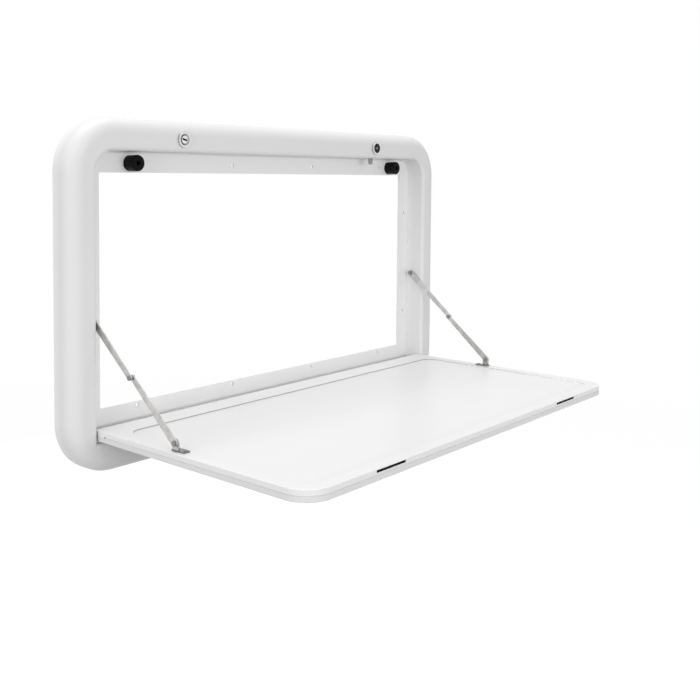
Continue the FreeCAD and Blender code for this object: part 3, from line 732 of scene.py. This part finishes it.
class TABLE_OT_locks(bpy.types.Operator):
    """Finish the two cam locks, with painted reflection and shade on their chrome"""

    bl_idname = "table.locks"
    bl_label = "Locks"

    def execute(self, context):
        look = context.scene.table_fittings
        # Painted shade in the hollow and round the outer edge of both housings
        hollow_shade = shaded(look.chrome, look.hollow_shade)
        rim = (RIM_R, PAST_LOCK, shaded(look.chrome, RIM_SHADE))
        left, right = ((-LOCK_AXIS[0], LOCK_AXIS[1]), LOCK_AXIS)
        hollow = (PLUG_R, MOUTH_R, hollow_shade)
        dress(["lock_housing_left"], bright_chrome(
            "bright_housing", look.chrome, look.chrome_roughness, left, (hollow, rim)))
        # Painted shade round the edge of the left plug
        plug_edge_shade = (PLUG_EDGE_R, PAST_LOCK, shaded(look.chrome, PLUG_REFLECTION_LEVEL))
        dress(["lock_plug_left"], bright_chrome(
            "bright_plug", look.chrome, look.chrome_roughness, left, (plug_edge_shade,), True))
        # Painted dark reflection in the right lock's hollow and on its plug, with a painted glint in the
        # plug's middle
        dark_reflection = (PLUG_R, MOUTH_R, shaded(look.dark_plug, 1.0))
        dress(["lock_housing_right"], bright_chrome(
            "dark_housing", look.chrome, look.chrome_roughness, right, (dark_reflection, rim)))
        painted_glint = (0.0, GLINT_R, shaded(look.chrome, PLUG_REFLECTION_LEVEL))
        dress(["lock_plug_right"], bright_chrome(
            "dark_plug", look.dark_plug, DARK_PLUG_ROUGHNESS, right, (painted_glint,)))
        steel = plated_steel("lock_steel", look.dull_steel, look, 0.0)
        dress(both_sides("lock_nut", "lock_cam", "cam_screw"), steel)
        return {"FINISHED"}


class TABLE_OT_dark_fittings(bpy.types.Operator):
    """Finish the rubber bumpers and the keeper slots"""

    bl_idname = "table.dark_fittings"
    bl_label = "Bumpers and keepers"

    def execute(self, context):
        look = context.scene.table_fittings
        dress(both_sides("bumper"), dark_moulding("bumper_rubber", look.rubber, RUBBER_SKIN))
        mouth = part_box("keeper_left")[0][1] + KEEPER_LIP
        lip = (mouth, context.scene.table_moulding.leaf_colour)
        dress(both_sides("keeper"), dark_moulding("keeper_black", look.keeper, KEEPER_SKIN, lip))
        return {"FINISHED"}


class TABLE_OT_screws(bpy.types.Operator):
    """Make the cross-slot screws of the brackets and bumpers"""

    bl_idname = "table.screws"
    bl_label = "Screws"

    def execute(self, context):
        look = context.scene.table_fittings
        sizes = context.scene.table_screws
        steel = plated_steel("screw_steel", look.dull_steel, look, 0.0)
        up = Vector((0, 0, 1))
        forward = Vector((0, -1, 0))
        place_screws("bracket_screw_heads", "bracket_screws", BRACKET_SCREW_SPAN, up, sizes, steel, "leaf")
        place_screws("bumper_screw_heads", "bumper_screws", BUMPER_SCREW_SPAN, forward, sizes, steel, "frame")
        return {"FINISHED"}


class TABLE_OT_stage(bpy.types.Operator):
    """Set up the pale floor, the soft light and the camera"""

    bl_idname = "table.stage"
    bl_label = "Stage"

    def execute(self, context):
        stage = context.scene.table_stage
        self.make_floor(stage)
        self.make_world(context.scene, stage)
        for side in LAMP_SIDES:
            self.make_lamp(stage, side)
        self.make_camera(context.scene, stage)
        context.scene.view_settings.view_transform = "Standard"
        return {"FINISHED"}

    @staticmethod
    def seen(finish):
        """One for rays that show the background to the eye, in metal or through glass."""
        kinds = ("Is Camera Ray", "Is Glossy Ray", "Is Transmission Ray")
        rays = [finish.node("ShaderNodeLightPath", output=kind) for kind in kinds]
        return rays[0] + rays[1] + rays[2]

    def make_floor(self, stage):
        """Wide pale floor that shows white where no shadow falls."""
        def fill(mesh):
            bmesh.ops.create_circle(mesh, cap_ends=True, segments=FLOOR_STEPS, radius=FLOOR_RADIUS)
        floor = mesh_object("floor", fill)
        floor.location.z = stage.floor_height
        material, finish = new_material("pale_floor")
        matt = finish.node("ShaderNodeBsdfDiffuse", None, {"Color": shaded(stage.floor_colour, 1.0)})
        glow = finish.node("ShaderNodeEmission", None, {"Strength": stage.floor_glow})
        lit = finish.node("ShaderNodeAddShader", None, {0: matt, 1: glow})
        white = finish.node("ShaderNodeEmission", None, {"Strength": 1.0})
        away = finish.node("ShaderNodeVectorMath", {"operation": "LENGTH"}, {0: finish.places()}, "Value")
        far = finish.ramp(away * (1 / FLOOR_FADE), FADE_STOPS)
        shown = finish.node("ShaderNodeMixShader", None, {0: far, 1: lit, 2: white})
        mixed = finish.node("ShaderNodeMixShader", None, {0: self.seen(finish), 1: matt, 2: shown})
        finish.node("ShaderNodeOutputMaterial", None, {"Surface": mixed})
        floor.data.materials.append(material)

    def make_world(self, scene, stage):
        """White to the eye, softer as light."""
        scene.world = bpy.data.worlds.new("studio")
        finish = Finish(scene.world)
        white = finish.node("ShaderNodeBackground", None, {"Color": (1, 1, 1, 1), "Strength": 1.0})
        light = finish.node("ShaderNodeBackground", None, {"Color": (1, 1, 1, 1), "Strength": stage.ambient})
        mixed = finish.node("ShaderNodeMixShader", None, {0: self.seen(finish), 1: light, 2: white})
        finish.node("ShaderNodeOutputWorld", None, {"Surface": mixed})

    @staticmethod
    def make_lamp(stage, side):
        """Large soft lamp that is aimed at the table."""
        data = bpy.data.lights.new("soft_" + side, "AREA")
        data.shape = "RECTANGLE"
        data.size, data.size_y = getattr(stage, side + "_size")
        data.energy = getattr(stage, side + "_power")
        lamp = bpy.data.objects.new("soft_" + side, data)
        lamp.location = getattr(stage, side + "_place")
        aim = LAMP_AIM - lamp.location
        lamp.rotation_euler = aim.to_track_quat("-Z", "Y").to_euler()
        lamp.visible_camera = False
        lamp.visible_glossy = side == MIRRORED_LAMP
        bpy.context.collection.objects.link(lamp)

    @staticmethod
    def make_camera(scene, stage):
        """Camera at the photograph's place."""
        data = bpy.data.cameras.new("camera")
        data.sensor_width = CAMERA_SENSOR
        data.lens = stage.camera_lens
        data.shift_x = stage.camera_shift_x
        data.shift_y = stage.camera_shift_y
        camera = bpy.data.objects.new("camera", data)
        camera.location = stage.camera_place
        level = Euler((math.pi / 2 - stage.camera_pitch, 0.0, -stage.camera_yaw)).to_matrix()
        camera.rotation_euler = (level @ Matrix.Rotation(stage.camera_roll, 3, "Z")).to_euler()
        bpy.context.collection.objects.link(camera)
        scene.camera = camera


class TABLE_PT_sidebar(bpy.types.Panel):
    """Lists the table's settings and steps"""

    bl_label = "Folding table"
    bl_idname = "TABLE_PT_sidebar"
    bl_space_type = "VIEW_3D"
    bl_region_type = "UI"
    bl_category = "Table"

    def draw(self, context):
        for group, steps in STEPS:
            part = self.layout.box()
            settings = getattr(context.scene, group)
            for name in settings.bl_rna.properties.keys():
                if name not in ("rna_type", "name"):
                    part.prop(settings, name)
            for step in steps:
                part.operator(step.bl_idname)


SETTINGS = {
    "table_moulding": MouldingSettings,
    "table_fittings": FittingSettings,
    "table_screws": ScrewSettings,
    "table_stage": StageSettings,
}
STEPS = (
    ("table_moulding", (TABLE_OT_mouldings,)),
    ("table_fittings", (TABLE_OT_stays, TABLE_OT_locks, TABLE_OT_dark_fittings)),
    ("table_screws", (TABLE_OT_screws,)),
    ("table_stage", (TABLE_OT_stage,)),
)


def register():
    """Adds the settings, the steps and the panel."""
    for name, kind in SETTINGS.items():
        bpy.utils.register_class(kind)
        setattr(bpy.types.Scene, name, bpy.props.PointerProperty(type=kind))
    for group, steps in STEPS:
        for step in steps:
            bpy.utils.register_class(step)
    bpy.utils.register_class(TABLE_PT_sidebar)


def unregister():
    """Takes the panel, the steps and the settings away again."""
    bpy.utils.unregister_class(TABLE_PT_sidebar)
    for group, steps in STEPS:
        for step in steps:
            bpy.utils.unregister_class(step)
    for name, kind in SETTINGS.items():
        delattr(bpy.types.Scene, name)
        bpy.utils.unregister_class(kind)


def main():
    """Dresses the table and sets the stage."""
    register()
    bpy.ops.table.mouldings()
    bpy.ops.table.stays()
    bpy.ops.table.locks()
    bpy.ops.table.dark_fittings()
    bpy.ops.table.screws()
    bpy.ops.table.stage()


if __name__ == "__main__":
    main()
